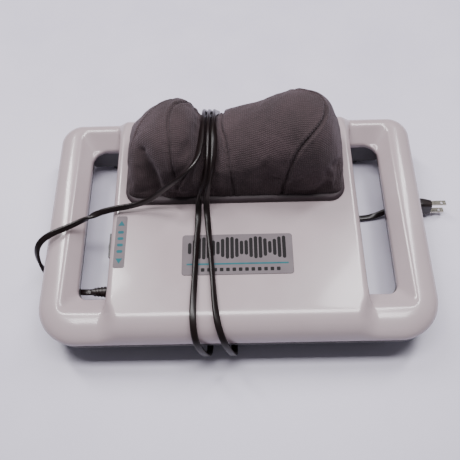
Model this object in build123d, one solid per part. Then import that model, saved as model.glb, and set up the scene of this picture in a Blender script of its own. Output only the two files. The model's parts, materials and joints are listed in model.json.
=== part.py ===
from build123d import *
import math
import os

# Two-handled kneading massager.  X runs across, Y from the front edge to the rear, Z up from the table.
# The origin is on the table, under the middle of the casing.  All sizes are in millimetres.

# ---- driving dimensions --------------------------------------------------------------------------
WIDTH = 420.0            # casing over both handles
FRONT_Y, REAR_Y = -136.0, 139.0       # casing, front and rear edges
FOOT_H = 8.0             # rubber feet
PARTING_Z = 38.0         # where the top shell stands on the bottom shell
SLOT_EDGE_Z = 44.0       # lower lip of the dish around each grip slot
RIM_Z = 58.0             # crest of the handles and of the frame
DECK_Z = 68.0            # raised middle of the top shell
WALL = 3.0               # top shell wall
TUB_WALL = 2.5           # bottom shell wall
REAR_R, FRONT_R = 25.0, 45.0          # plan corner radii
BODY_HALF = 136.0        # raised middle, half width
BODY_FRONT_R, BODY_REAR_R = 22.0, 12.0
BODY_STEP = 1.0          # the raised middle stands back from the frame's edge
RIM_ROUND = 12.0         # top edge of the frame
SLOT_OUT = 171.0         # outer side of a grip slot
SLOT_Y = (-85.0, 106.0)
SLOT_R = 14.0
DISH_TAPER = -43.0       # slope of the dish round a slot, degrees
GRIP_BOTTOM_Z = 33.5     # underside of the handles

SHAFT_Y, SHAFT_Z, SHAFT_R = 70.0, 92.0, 5.0
SHAFT_HALF = 104.0
DISC_X = 64.0            # massage discs, left and right of the middle
DISC_R, DISC_W, DISC_ROUND = 40.0, 15.0, 5.0
DISC_TILT = 8.0          # inclined hubs, degrees
HUB_R, HUB_W = 13.0, 20.0
BEARING_R = 15.0         # bore of a disc, and outside of its bearing
RUN = 0.05               # radial clearance of every running fit
KNOB_R, KNOB_AT = 7.5, 37.0
STAY_R, STAY_END = 2.5, 56.0
BRACKET_X = 96.0
BRACKET_T = 4.0
BUSH_R, BUSH_W = 8.0, 8.0

TEETH = 42
MODULE = 1.6
GEAR_W = 10.0
WHEEL_TIP, WHEEL_ROOT = 35.2, 31.4
CENTRES = 43.0           # main shaft to worm
WORM_CORE, WORM_TIP = 7.2, 10.7
THREAD_T = 1.5
WORM_HALF = 12.0
WORM_PHASE = 90.0        # turns the right-handed thread into mesh, degrees
DRIVE_TILT = 6.0         # the motor lies nose up, degrees
ROTOR_R = 3.0            # motor shaft
CAN_R, CAN_WALL = 20.0, 2.0
CAN_Y = (-146.0, -84.0)  # along the motor axis, from the worm

COVER_HALF = 121.0
COVER_Y = (14.5, 125.0)
COVER_T = 2.5
COVER_CORNER = 17.0
COVER_DOME_R = 50.0
COVER_FOOT = 8.0         # piped edge that lies on the deck
FRAME_T = 3.0

SWITCH_Y, SWITCH_Z = -29.0, 51.0
SWITCH_HALF = (12.0, 7.0)             # half length and half height of the switch body
RELIEF_Y, RELIEF_Z = -70.0, 26.0
RELIEF_END = 160.0
CORD_R = 2.6
PLATE = (117.0, 46.5, 0.8)
PLATE_AT = (1.4, -46.6)
STRIP = (12.0, 61.5, 0.5)
STRIP_AT = (-124.0, -29.0)


# ---- small helpers -------------------------------------------------------------------------------
def block(x0, x1, y0, y1, z0, z1):
    return Pos((x0 + x1) / 2, (y0 + y1) / 2, (z0 + z1) / 2) * Box(x1 - x0, y1 - y0, z1 - z0)


def rod_x(r, x0, x1, y=SHAFT_Y, z=SHAFT_Z):
    return Pos((x0 + x1) / 2, y, z) * Rot(0, 90, 0) * Cylinder(r, abs(x1 - x0))


def rod_y(r, y0, y1, x=0.0, z=0.0):
    return Pos(x, (y0 + y1) / 2, z) * Rot(90, 0, 0) * Cylinder(r, abs(y1 - y0))


def rod_z(r, z0, z1, x, y):
    return Pos(x, y, (z0 + z1) / 2) * Cylinder(r, abs(z1 - z0))


def corners(xs, ys):
    return [(x, y) for x in xs for y in ys]


def solids(*shapes):
    found = []
    for shape in shapes:
        found += shape.solids()
    return Compound(children=found) if len(found) > 1 else found[0]


def save(name, *shapes):
    export_step(solids(*shapes), f"parts/{name}.step")


# ---- casing --------------------------------------------------------------------------------------
def plan(inset):
    face = Rectangle(WIDTH - 2 * inset, REAR_Y - FRONT_Y - 2 * inset)
    face = Pos(0, (FRONT_Y + REAR_Y) / 2) * face
    front = face.vertices().filter_by(lambda v: v.Y < 0)
    face = fillet(front, FRONT_R - inset)
    rear = face.vertices().filter_by(lambda v: v.Y > REAR_Y - inset - 1)
    return fillet(rear, REAR_R - inset)


def slot_plan(side, grow):
    length = SLOT_Y[1] - SLOT_Y[0] + 2 * grow
    width = SLOT_OUT - BODY_HALF + 2 * grow
    middle = Pos(side * (SLOT_OUT + BODY_HALF) / 2, sum(SLOT_Y) / 2)
    face = Rectangle(width, length)
    outer = face.vertices().filter_by(lambda v: v.X * side > 0)
    return middle * fillet(outer, SLOT_R + grow)


def slot_prism(side, grow):
    return extrude(slot_plan(side, grow), DECK_Z + 10)


def casing_form(inset, z0):
    top = RIM_Z - inset
    frame = extrude(Pos(0, 0, z0) * plan(inset), top - z0)
    frame = fillet(frame.faces().sort_by(Axis.Z)[-1].edges(), RIM_ROUND - inset)
    for side in (-1, 1):
        frame -= extrude(Pos(0, 0, SLOT_EDGE_Z - inset) * slot_plan(side, inset), 22, taper=DISH_TAPER)
    half, step = BODY_HALF - inset, BODY_STEP + inset
    body = block(-half, half, FRONT_Y + step, REAR_Y - step, z0, DECK_Z - inset)
    top_edges = body.faces().sort_by(Axis.Z)[-1].edges().filter_by(Axis.X).sort_by(Axis.Y)
    body = fillet(top_edges[0], BODY_FRONT_R - inset)
    top_edges = body.edges().filter_by(Axis.X).group_by(Axis.Z)[-1].sort_by(Axis.Y)
    body = fillet(top_edges[-1], BODY_REAR_R - inset)
    form = frame + body
    for side in (-1, 1):
        form -= slot_prism(side, inset)
    return form


BOSSES = corners((-122, 122), (-104, 8, 120))
FRAME_SCREWS = corners((-112.4, 112.4), (26, 114)) + corners((-40, 40), (20.4, 119.2))
DECK_HOLE = block(-108, 108, 24, 116, 50, 90)


def upper_shell():
    shell = casing_form(0, PARTING_Z) - casing_form(WALL, PARTING_Z - 1)
    for x, y in BOSSES:
        shell += rod_z(4.5, 30, DECK_Z - 1, x, y)
        shell -= rod_z(1.65, 29, 48, x, y)
    shell -= DECK_HOLE
    for x, y in FRAME_SCREWS:
        shell -= rod_z(1.5, 60, 75, x, y)
    wall, long, high = -BODY_HALF, SWITCH_HALF[0] + 0.1, SWITCH_HALF[1] + 0.1
    hole = block(wall - 5, wall + 5, SWITCH_Y - long, SWITCH_Y + long, SWITCH_Z - high, SWITCH_Z + high)
    return shell - hole


def tub(inset, z0):
    form = block(-134 + inset, 134 - inset, -126 + inset, 127 - inset, z0, PARTING_Z)
    form += block(-180 + inset, 180 - inset, 107 + inset, 127 - inset, z0, PARTING_Z)
    form += block(-162 + inset, 162 - inset, -126 + inset, -88 - inset, z0, PARTING_Z)
    upright = form.edges().filter_by(Axis.Z)
    return fillet(upright, 5.0 - inset)


def grip_plate(inset, z0):
    form = extrude(Pos(0, 0, z0) * plan(1.5 + inset), PARTING_Z - z0)
    for side in (-1, 1):
        form -= slot_prism(side, 0.5 + inset)
    return form


def lower_shell():
    shell = grip_plate(0, GRIP_BOTTOM_Z) + tub(0, FOOT_H)
    shell -= grip_plate(TUB_WALL, GRIP_BOTTOM_Z + TUB_WALL)
    shell -= tub(TUB_WALL, FOOT_H + TUB_WALL)
    for x, y in BOSSES:
        shell += rod_z(5.5, FOOT_H + 1, 30, x, y)
        shell -= rod_z(3.6, FOOT_H - 1, 22, x, y) + rod_z(1.75, 21, 31, x, y)
    for i in range(7):
        y = -66 + 9 * i
        shell -= block(-26, 26, y, y + 2.6, FOOT_H - 1, FOOT_H + TUB_WALL + 1)
    shell -= rod_x(6.2, -136, -130, RELIEF_Y, RELIEF_Z)
    return shell


FEET = [(-150, 117), (150, 117), (-146, -107), (146, -107)]


def rubber_foot(x, y):
    return Pos(x, y, FOOT_H / 2) * Cone(8.0, 9.5, FOOT_H)


def housing_screw(x, y):
    return rod_z(3.2, 19.4, 22, x, y) + rod_z(1.6, 22, 44, x, y)


# ---- fabric cover and its frame ------------------------------------------------------------------
# Ridge of the cover from left to right: a low left lobe, the valley that the lead pulls in, a shelf and a
# high right lobe.
COVER_TOP = [(-121, 76), (-115, 97), (-107, 116), (-94, 133), (-77, 148), (-59, 153), (-46, 148),
             (-37, 120), (-17, 119), (-11, 130), (6, 136), (26, 143), (46, 155), (70, 162), (87, 159),
             (100, 144), (111, 117), (117, 94), (121, 76)]


def cover_section(x, top, inset, z0):
    middle = sum(COVER_Y) / 2
    half = COVER_DOME_R - inset
    spring = max(z0 + 2, top - half)
    dome = EllipticalCenterArc((middle, spring), half, top - spring, arc_size=180)
    legs = Polyline([(middle - half, spring), (middle - half, z0), (middle + half, z0),
                     (middle + half, spring)])
    face = make_face(Curve() + [dome, legs])
    return Plane(origin=(x, 0, 0), x_dir=(0, 1, 0), z_dir=(1, 0, 0)) * face


def cover_form(inset, z0):
    shrink = (COVER_HALF - inset) / COVER_HALF
    sections = [cover_section(x * shrink, top - inset, inset, z0) for x, top in COVER_TOP]
    foot_top = DECK_Z + COVER_FOOT - inset
    deep = COVER_Y[1] - COVER_Y[0] - 2 * inset
    foot = RectangleRounded(2 * (COVER_HALF - inset), deep, COVER_CORNER - inset)
    foot = extrude(Pos(0, sum(COVER_Y) / 2, z0) * foot, foot_top - z0)
    mask = RectangleRounded(2 * (COVER_HALF - inset), 2 * (COVER_DOME_R - inset), COVER_CORNER - inset)
    mask = extrude(Pos(0, sum(COVER_Y) / 2, z0) * mask, 200)
    return (loft(sections, ruled=True) & mask) + foot


def fabric_cover():
    return cover_form(0, DECK_Z) - cover_form(COVER_T, DECK_Z - 4)


def cover_frame():
    y0, y1 = COVER_Y[0] + 3.2, COVER_Y[1] - 3.2
    outer = RectangleRounded(2 * COVER_HALF - 7, y1 - y0, COVER_CORNER - 3)
    ring = extrude(Pos(0, sum(COVER_Y) / 2, DECK_Z) * outer, FRAME_T) - DECK_HOLE
    for x, y in FRAME_SCREWS:
        ring -= rod_z(1.6, 60, 75, x, y)
    return ring


def frame_screw(x, y):
    top = DECK_Z + FRAME_T
    return rod_z(2.6, top, top + 1.8, x, y) + rod_z(1.45, top - 9, top, x, y)


# ---- kneading drive ------------------------------------------------------------------------------
def inclined(side):
    return Pos(side * DISC_X, SHAFT_Y, SHAFT_Z) * Rot(0, 90 + DISC_TILT, 0)


def ring(outer, inner, length, centre=0.0):
    return Pos(0, 0, centre) * (Cylinder(outer, length) - Cylinder(inner, length + 2))


def hub(side):
    body = inclined(side) * (Cylinder(HUB_R, HUB_W) + Pos(0, 0, -HUB_W / 2 - 1.25) * Cylinder(17.5, 2.5))
    body -= rod_x(SHAFT_R, side * DISC_X - 30, side * DISC_X + 30)
    pin_x = side * DISC_X
    return body - rod_z(1.5, SHAFT_Z - 20, SHAFT_Z + 20, pin_x, SHAFT_Y)


def disc(side):
    body = Cylinder(DISC_R, DISC_W)
    body = fillet(body.edges(), DISC_ROUND)
    for i in range(6):
        at = Rot(0, 0, 60 * i + 30) * Pos(KNOB_AT, 0, 0)
        body += at * Sphere(KNOB_R)
    for i in range(6):
        body -= Rot(0, 0, 60 * i + 30) * Pos(27, 0, 0) * Cylinder(5.0, DISC_W + 2)
    body -= Cylinder(BEARING_R, DISC_W + 2)
    body -= Rot(0, 90, 0) * Pos(0, 0, (34 + STAY_END) / 2) * Cylinder(STAY_R, STAY_END - 34)
    return inclined(side) * body


def stay_pin(side):
    pin = Rot(0, 90, 0) * Pos(0, 0, (34 + STAY_END) / 2) * Cylinder(STAY_R, STAY_END - 34)
    return inclined(side) * pin


def disc_bearing(side):
    return inclined(side) * ring(BEARING_R, HUB_R + RUN, DISC_W)


def disc_washer(side):
    return inclined(side) * ring(18.0, HUB_R, 1.5, HUB_W / 2 - 0.75)


def shaft():
    body = rod_x(SHAFT_R, -SHAFT_HALF, SHAFT_HALF)
    for side in (-1, 1):
        body -= rod_z(1.5, SHAFT_Z - 20, SHAFT_Z + 20, side * DISC_X, SHAFT_Y)
    return body - rod_z(1.5, SHAFT_Z - 20, SHAFT_Z + 20, 9, SHAFT_Y)


def cross_pins():
    pins = [rod_z(1.5, SHAFT_Z - 10.5, SHAFT_Z + 10.5, side * DISC_X, SHAFT_Y) for side in (-1, 1)]
    return pins + [rod_z(1.5, SHAFT_Z - 8.5, SHAFT_Z + 8.5, 9, SHAFT_Y)]


def shaft_clips():
    clips = []
    for side in (-1, 1):
        x = side * (BRACKET_X + BUSH_W / 2 + 1.0)
        clips.append(rod_x(8, x - 0.6, x + 0.6) - rod_x(SHAFT_R, x - 1, x + 1))
    return clips


def worm_wheel():
    wheel = rod_x(WHEEL_TIP, -GEAR_W / 2, GEAR_W / 2) + rod_x(9, -GEAR_W / 2, GEAR_W / 2 + 8)
    lead = math.degrees(math.atan(MODULE / 2 / (CENTRES - MODULE * TEETH / 2)))
    depth = WHEEL_TIP - WHEEL_ROOT
    gap = Polyline([(-1.3, -0.2), (-2.1, depth + 1), (2.1, depth + 1), (1.3, -0.2)], close=True)
    cutter = Plane(origin=(0, 0, 0), x_dir=(0, 1, 0), z_dir=(1, 0, 0)) * make_face(gap)
    cutter = Pos(-GEAR_W, 0, 0) * extrude(cutter, 2 * GEAR_W)
    cutter = Pos(0, 0, WHEEL_ROOT) * Rot(0, 0, lead) * cutter
    at = Pos(0, SHAFT_Y, SHAFT_Z) * Rot(180 + DRIVE_TILT, 0, 0)
    wheel -= [at * Rot(i * 360 / TEETH, 0, 0) * cutter for i in range(TEETH)]
    wheel -= rod_x(SHAFT_R, -20, 20)
    wheel -= [at * Rot(60 * i, 0, 0) * rod_x(6, -20, 20, 0, 20) for i in range(6)]
    return wheel - rod_z(1.5, SHAFT_Z - 20, SHAFT_Z + 20, 9, SHAFT_Y)


def motor_axis(shape):
    tilt = math.radians(DRIVE_TILT)
    foot = Pos(0, SHAFT_Y + CENTRES * math.sin(tilt), SHAFT_Z - CENTRES * math.cos(tilt))
    return foot * Rot(DRIVE_TILT, 0, 0) * shape


def worm():
    pitch = math.pi * MODULE
    turns = 3
    mean = (WORM_CORE + WORM_TIP) / 2
    path = Helix(pitch=pitch, height=turns * pitch, radius=mean)
    high = WORM_TIP - WORM_CORE + 0.6
    start = Plane(origin=path @ 0, x_dir=(1, 0, 0), z_dir=path % 0)
    thread = sweep(start * Pos(-0.3, 0) * Rectangle(high, THREAD_T), path=path, is_frenet=True)
    body = Pos(0, 0, -turns * pitch / 2) * thread + Cylinder(WORM_CORE, 2 * WORM_HALF)
    body -= Cylinder(ROTOR_R, 3 * WORM_HALF)
    return motor_axis(Rot(-90, 0, 0) * Rot(0, 0, WORM_PHASE) * body)


def rotor_shaft():
    return motor_axis(rod_y(ROTOR_R, CAN_Y[0] - 12, 24))


def armature():
    core = rod_y(14, CAN_Y[0] + 10, CAN_Y[1] - 18)
    for i in range(8):
        core -= Rot(0, 45 * i, 0) * block(-1.2, 1.2, CAN_Y[0], CAN_Y[1], 8, 15)
    core += rod_y(6.5, CAN_Y[1] - 18, CAN_Y[1] - 8)
    return motor_axis(core - rod_y(ROTOR_R, -200, 50))


def motor_can():
    can = rod_y(CAN_R, *CAN_Y) - rod_y(CAN_R - CAN_WALL, CAN_Y[0] + 2, CAN_Y[1] + 1)
    can -= rod_y(ROTOR_R + RUN, -200, 50)
    return motor_axis(can)


def motor_magnets():
    tube = rod_y(CAN_R - CAN_WALL, CAN_Y[0] + 10, CAN_Y[1] - 16) - rod_y(14.8, -200, 50)
    gap = block(-30, 30, -200, 50, -5, 5)
    return motor_axis(tube - gap)


def motor_end_cap():
    cap = rod_y(CAN_R, CAN_Y[1], CAN_Y[1] + 3) - rod_y(ROTOR_R + RUN, -200, 50)
    return motor_axis(cap)


def cooling_fan():
    y0, y1 = CAN_Y[0] - 9, CAN_Y[0] - 3
    fan = rod_y(6, y0, y1)
    for i in range(7):
        blade = Pos(0, (y0 + y1) / 2, 10.5) * Rot(0, 0, 35) * Box(7, 1.4, 13)
        fan += Rot(0, i * 360 / 7, 0) * blade
    return motor_axis(fan - rod_y(ROTOR_R, -200, 50))


def tilted_cut(r):
    return motor_axis(rod_y(r, -200, 60))


CRADLE_Y = (-66, -18)


def motor_cradle():
    floor = FOOT_H + TUB_WALL
    ribs = []
    for y in CRADLE_Y:
        rib = block(-27, 27, y - 3, y + 3, floor, 36) - tilted_cut(CAN_R)
        for side in (-1, 1):
            rib -= rod_z(1.4, 26, 40, side * 24, y)
        ribs.append(rib)
    return ribs


def motor_straps():
    straps = []
    for y in CRADLE_Y:
        band = motor_axis(rod_y(CAN_R + 1.2, -200, 60)) & block(-27, 27, y - 3, y + 3, 36, 66)
        band += block(-27, 27, y - 3, y + 3, 36, 37.2)
        band -= tilted_cut(CAN_R)
        for side in (-1, 1):
            band -= rod_z(1.5, 26, 40, side * 24, y)
        straps.append(band)
    return straps


def strap_screws():
    screws = []
    for y in CRADLE_Y:
        for side in (-1, 1):
            x = side * 24
            screws.append(rod_z(2.5, 37.2, 38.8, x, y) + rod_z(1.4, 28, 37.2, x, y))
    return screws


def worm_block():
    floor = FOOT_H + TUB_WALL
    post = block(-14, 14, 90, 97, floor, 62) + block(-22, 22, 88, 100, floor, floor + 4)
    return post - motor_axis(rod_y(6.0, 0, 40))


def worm_bush():
    bush = motor_axis(rod_y(6.0, 0, 40)) & block(-14, 14, 90, 97, 30, 62)
    return bush - motor_axis(rod_y(ROTOR_R + RUN, 0, 40))


def bracket(side):
    floor = FOOT_H + TUB_WALL
    x = side * BRACKET_X
    plate = block(x - BRACKET_T / 2, x + BRACKET_T / 2, SHAFT_Y - 18, SHAFT_Y + 18, floor, SHAFT_Z)
    plate += rod_x(14, x - BRACKET_T / 2, x + BRACKET_T / 2)
    foot_x = sorted((x - side * 2, x - side * 18))
    plate += block(foot_x[0], foot_x[1], SHAFT_Y - 18, SHAFT_Y + 18, floor, floor + 3)
    plate -= rod_x(BUSH_R, x - 5, x + 5)
    for y in (SHAFT_Y - 11, SHAFT_Y + 11):
        plate -= rod_z(2.0, floor - 1, floor + 5, side * (BRACKET_X - 11), y)
    return plate


def bracket_screw(side, y):
    floor = FOOT_H + TUB_WALL
    x = side * (BRACKET_X - 11)
    return rod_z(3.4, floor + 3, floor + 5.2, x, y) + rod_z(1.95, floor, floor + 3, x, y)


def shaft_bush(side):
    x = side * BRACKET_X
    bush = rod_x(BUSH_R, x - BUSH_W / 2, x + BUSH_W / 2)
    bush += rod_x(BUSH_R + 2.5, x - side * BUSH_W / 2, x - side * BRACKET_T / 2)
    return bush - rod_x(SHAFT_R + RUN, x - 10, x + 10)


def guide_fork(side):
    floor = FOOT_H + TUB_WALL
    x = side * DISC_X
    fork = block(x - 13, x + 13, SHAFT_Y - 9, SHAFT_Y + 9, floor, 44)
    return fork - block(x - 20, x + 20, SHAFT_Y - 3.3, SHAFT_Y + 3.3, floor + 4, 50)


# ---- controls, wiring ----------------------------------------------------------------------------
def switch_body():
    wall = -BODY_HALF
    long, high = SWITCH_HALF
    body = block(wall, wall + 22, SWITCH_Y - long, SWITCH_Y + long, SWITCH_Z - high, SWITCH_Z + high)
    long, high = long + 2, high + 2
    body += block(wall - 1.8, wall, SWITCH_Y - long, SWITCH_Y + long, SWITCH_Z - high, SWITCH_Z + high)
    body -= block(wall - 5, wall + 8, SWITCH_Y - 9.5, SWITCH_Y + 9.5, SWITCH_Z - 5, SWITCH_Z + 5)
    body -= rod_z(1.0 + RUN, SWITCH_Z - 6, SWITCH_Z + 6, wall + 3, SWITCH_Y)
    for side in (-1, 0, 1):
        y = SWITCH_Y + 7 * side
        body += block(wall + 22, wall + 29, y - 1.6, y + 1.6, SWITCH_Z - 0.4, SWITCH_Z + 0.4)
    return body


def switch_rocker():
    wall = -BODY_HALF
    face = Polyline([(wall + 4, -8.4), (wall - 2.6, -8.4), (wall - 3.4, 0), (wall - 2.6, 8.4),
                     (wall + 4, 8.4), (wall + 5, 0)], close=True)
    rocker = Pos(0, SWITCH_Y, SWITCH_Z - 4.7) * extrude(make_face(face), 9.4)
    return rocker + rod_z(1.0, SWITCH_Z - 5.9, SWITCH_Z + 5.9, wall + 3, SWITCH_Y)


BOARD_X, BOARD_Y = -72.0, -64.0


def circuit_board():
    board = block(BOARD_X - 26, BOARD_X + 26, BOARD_Y - 36, BOARD_Y + 36, 18, 19.6)
    for x, y in corners((BOARD_X - 22, BOARD_X + 22), (BOARD_Y - 32, BOARD_Y + 32)):
        board -= rod_z(1.6, 15, 22, x, y)
    return board


def board_posts():
    floor = FOOT_H + TUB_WALL
    return [rod_z(3.4, floor, 18, x, y) - rod_z(1.3, 14, 19, x, y)
            for x, y in corners((BOARD_X - 22, BOARD_X + 22), (BOARD_Y - 32, BOARD_Y + 32))]


def board_screws():
    return [rod_z(2.6, 19.6, 21.2, x, y) + rod_z(1.3, 14, 19.6, x, y)
            for x, y in corners((BOARD_X - 22, BOARD_X + 22), (BOARD_Y - 32, BOARD_Y + 32))]


def board_parts():
    base = 19.6
    capacitor = rod_z(8, base, base + 24, BOARD_X + 8, BOARD_Y + 14)
    bridge = block(BOARD_X - 16, BOARD_X - 2, BOARD_Y - 4, BOARD_Y + 2, base, base + 12)
    fuse = rod_x(2.6, BOARD_X - 12, BOARD_X + 8, BOARD_Y - 20, base + 2.6)
    terminals = block(BOARD_X - 14, BOARD_X + 14, BOARD_Y + 26, BOARD_Y + 34, base, base + 9)
    choke = rod_z(9, base, base + 10, BOARD_X + 10, BOARD_Y - 6)
    return [capacitor, bridge, fuse, terminals, choke]


def wire(points):
    path = FilletPolyline(points, radius=4.0)
    section = Plane(origin=points[0], z_dir=Vector(*points[1]) - Vector(*points[0])) * Circle(1.1)
    return sweep(section, path=path)


def internal_wires():
    tail = -BODY_HALF + 29
    mains = wire([(-126, RELIEF_Y, RELIEF_Z), (-108, RELIEF_Y, RELIEF_Z), (-101, -50, 26),
                  (-99, -34, 24), (-86, -34, 24)])
    live = wire([(tail, SWITCH_Y - 7, SWITCH_Z), (tail + 12, SWITCH_Y - 7, SWITCH_Z),
                 (-80, -34, 46), (-80, -34, 28.6)])
    motor_lead = wire([(-66, -34, 28.6), (-66, -34, 46), (-34, -30, 54), (-22, -24, 48)])
    return [mains, live, motor_lead]


def strain_relief():
    body = rod_x(6.2, -140, -126, RELIEF_Y, RELIEF_Z)
    body += rod_x(7.2, -137, -134, RELIEF_Y, RELIEF_Z)
    body += rod_x(7.2, -131.5, -127, RELIEF_Y, RELIEF_Z)
    middle = Pos(-(140 + RELIEF_END) / 2, RELIEF_Y, RELIEF_Z) * Rot(0, -90, 0)
    body += middle * Cone(6.2, 3.6, RELIEF_END - 140)
    for i in range(5):
        x = -141.5 - 3.6 * i
        body += rod_x(6.6 - 0.45 * i, x - 1.7, x, RELIEF_Y, RELIEF_Z)
    return body


# ---- mains lead and plug -------------------------------------------------------------------------
# The lead leaves the left wall, passes under the left handle and back over it, crosses the deck and goes
# round the casing and the cover's valley: over the valley, down the back, under the feet and up the front,
# twice, then once more over the valley and out under the right handle to the plug.
LEAD_ROUTE = [
    (-160, -70, 26), (-172, -70, 26), (-188, -67, 22), (-203, -58, 21), (-214, -47, 28), (-220, -38, 41),
    (-219.5, -29, 54), (-211, -22.5, 64), (-198, -15.5, 66.5), (-183, -8, 65), (-166, 0, 66.5),
    (-148, 5, 72.5), (-131, 8, 75), (-114, 9.5, 77), (-99, 11, 81), (-84, 13.5, 92), (-69, 15.2, 108),
    (-52, 17.5, 123), (-38, 30, 130), (-34, 55, 128), (-33, 78, 126), (-32.7, 98, 118),
    (-32.7, 114, 104), (-32.7, 126, 88), (-32, 140, 72), (-32, 147.5, 58), (-32, 148, 44), (-31, 147, 28),
    (-31, 142, 12), (-30, 129, 3.2), (-33, 84, 4.0), (-30, 24, 3.6), (-33, -40, 4.0), (-30, -92, 3.6),
    (-30.3, -128, 3.2), (-31, -138.5, 13.5), (-33, -143.5, 29), (-37, -144, 44), (-42, -139, 60),
    (-44, -126, 70.5), (-44.5, -108, 74), (-43, -75, 72.6), (-42, -42, 73.2), (-40.5, -18, 73.2),
    (-40, -1, 73.3), (-39.3, 10, 82.5), (-36.5, 13.2, 98), (-31.5, 21, 112), (-28, 36, 122), (-27, 56, 126.5),
    (-26.7, 77, 126), (-26.7, 97, 118.5), (-26.7, 113.5, 104), (-26.7, 126, 88), (-26, 140, 72),
    (-26, 147.5, 58), (-26, 148, 44), (-25, 147, 28), (-24.5, 142, 12), (-23, 129, 3.2), (-22, 84, 3.7),
    (-15, 24, 4.0), (-14, -40, 3.7), (-7, -92, 4.0), (-4, -128, 3.2), (-3.7, -138.5, 13.5), (-5, -143.5, 29),
    (-8.5, -144, 44), (-14, -139, 60), (-19, -126, 70.5), (-22, -108, 74), (-24.5, -75, 72.6),
    (-27, -42, 73.2), (-29, -18, 73.2), (-30.5, -1, 73.3), (-31, 10, 82.5), (-29.5, 13.2, 98), (-25, 21, 112),
    (-21.5, 36, 122), (-20.7, 56, 126.5), (-20.7, 77, 126), (-20.7, 97, 118.5), (-20.7, 113.5, 104),
    (-20.7, 126, 88), (-20, 140, 72), (-19.5, 147.5, 58), (-19, 148, 44), (-18, 147, 28), (-16, 142, 12),
    (-11.5, 130, 3.2), (12, 94, 4.0), (46, 62, 3.6), (88, 38, 3.9), (128, 27, 3.4), (150, 27, 3.2),
    (164, 28.2, 4.2), (177, 31.5, 8.6)]
PLUG_FACE = Vector(232.5, 35.5, 12.9)    # middle of the face that carries the blades
PLUG_TURN, PLUG_ROLL = 0.0, 78.0
PLUG_L = 24.0
PLUG_SHAPE = [(-24, 18, 11), (-17, 22, 13), (-10, 21, 13), (0, 17, 10.5)]   # length, width, thickness
PLUG_TAIL = 10.0
BLADE = (17.0, 6.35, 1.5)                # length outside, width, thickness
BLADE_Y = 6.35                           # half the pitch of the blades
BLADE_ROOT = 6.0


def at_plug(shape):
    return Pos(*PLUG_FACE) * Rot(0, 0, PLUG_TURN) * Rot(PLUG_ROLL, 0, 0) * shape


def lead_points():
    turn = math.radians(PLUG_TURN)
    along = Vector(math.cos(turn), math.sin(turn), 0)
    end = PLUG_FACE - along * (PLUG_L + PLUG_TAIL)
    return [Vector(*p) for p in LEAD_ROUTE] + [end - along * 10, end]


def power_cord():
    points = lead_points()
    radii = []
    for before, here, after in zip(points, points[1:], points[2:]):
        half_turn = math.radians((here - before).get_angle(after - here)) / 2
        shorter = min((here - before).length, (after - here).length)
        radii.append(0.45 * shorter / math.tan(half_turn))
    path = FilletPolyline(points, radius=radii)
    tube = sweep(Plane(origin=points[0], z_dir=points[1] - points[0]) * Circle(CORD_R), path=path)
    print("cord length", round(path.length, 1), "tightest radius", round(min(radii), 1))
    print("cord radii", [round(r, 1) for r in radii])
    print("volume over section times length", round(tube.volume / (math.pi * CORD_R**2 * path.length), 4))
    return tube


def plug_body():
    sections = [Plane.YZ.offset(x) * RectangleRounded(wide, thick, 4.0) for x, wide, thick in PLUG_SHAPE]
    body = loft(sections)
    tail = Pos(-PLUG_L - PLUG_TAIL / 2, 0, 0) * Rot(0, 90, 0) * Cone(3.6, 5.0, PLUG_TAIL)
    slots = [Pos(-BLADE_ROOT / 2, y, 0) * Box(BLADE_ROOT, BLADE[2], BLADE[1]) for y in (-BLADE_Y, BLADE_Y)]
    return at_plug(body + tail - slots)


def plug_blades():
    length, wide, thick = BLADE
    blades = []
    for y in (-BLADE_Y, BLADE_Y):
        blade = Pos((length - BLADE_ROOT) / 2, y, 0) * Box(length + BLADE_ROOT, thick, wide)
        blade -= Pos(length - 5, y, 0) * Rot(90, 0, 0) * Cylinder(1.6, 5)
        blades.append(at_plug(blade))
    return blades


# ---- name plate, control strip -------------------------------------------------------------------
def deck_plate(size, at, corner):
    face = Pos(at[0], at[1], DECK_Z) * RectangleRounded(size[0], size[1], corner)
    return extrude(face, size[2])


# ---- everything ----------------------------------------------------------------------------------
save("upper_shell", upper_shell())
save("lower_shell", lower_shell())
save("rubber_feet", *[rubber_foot(x, y) for x, y in FEET])
save("housing_screws", *[housing_screw(x, y) for x, y in BOSSES])
save("fabric_cover", fabric_cover())
save("cover_frame", cover_frame())
save("cover_frame_screws", *[frame_screw(x, y) for x, y in FRAME_SCREWS])
save("main_shaft", shaft())
save("cross_pins", *cross_pins())
save("shaft_clips", *shaft_clips())
save("worm_wheel", worm_wheel())
for name, side in (("left", -1), ("right", 1)):
    save(f"{name}_inclined_hub", hub(side))
    save(f"{name}_massage_disc", disc(side))
    save(f"{name}_stay_pin", stay_pin(side))
    save(f"{name}_disc_bearing", disc_bearing(side))
    save(f"{name}_disc_washer", disc_washer(side))
    save(f"{name}_shaft_bush", shaft_bush(side))
    save(f"{name}_bearing_bracket", bracket(side))
    save(f"{name}_guide_fork", guide_fork(side))
save("bracket_screws", *[bracket_screw(s, SHAFT_Y + d) for s in (-1, 1) for d in (-11, 11)])
save("worm", worm())
save("motor_shaft", rotor_shaft())
save("motor_armature", armature())
save("motor_can", motor_can())
save("motor_magnets", motor_magnets())
save("motor_end_cap", motor_end_cap())
save("motor_cradle", *motor_cradle())
save("motor_straps", *motor_straps())
save("strap_screws", *strap_screws())
save("cooling_fan", cooling_fan())
save("worm_bearing_block", worm_block())
save("worm_bush", worm_bush())
save("switch_body", switch_body())
save("switch_rocker", switch_rocker())
save("circuit_board", circuit_board())
save("board_posts", *board_posts())
save("board_screws", *board_screws())
save("board_components", *board_parts())
save("internal_wires", *internal_wires())
save("strain_relief", strain_relief())
save("name_plate", deck_plate(PLATE, PLATE_AT, 3.0))
save("control_strip", deck_plate(STRIP, STRIP_AT, 2.0))
save("power_cord", power_cord())
save("plug_body", plug_body())
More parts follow.
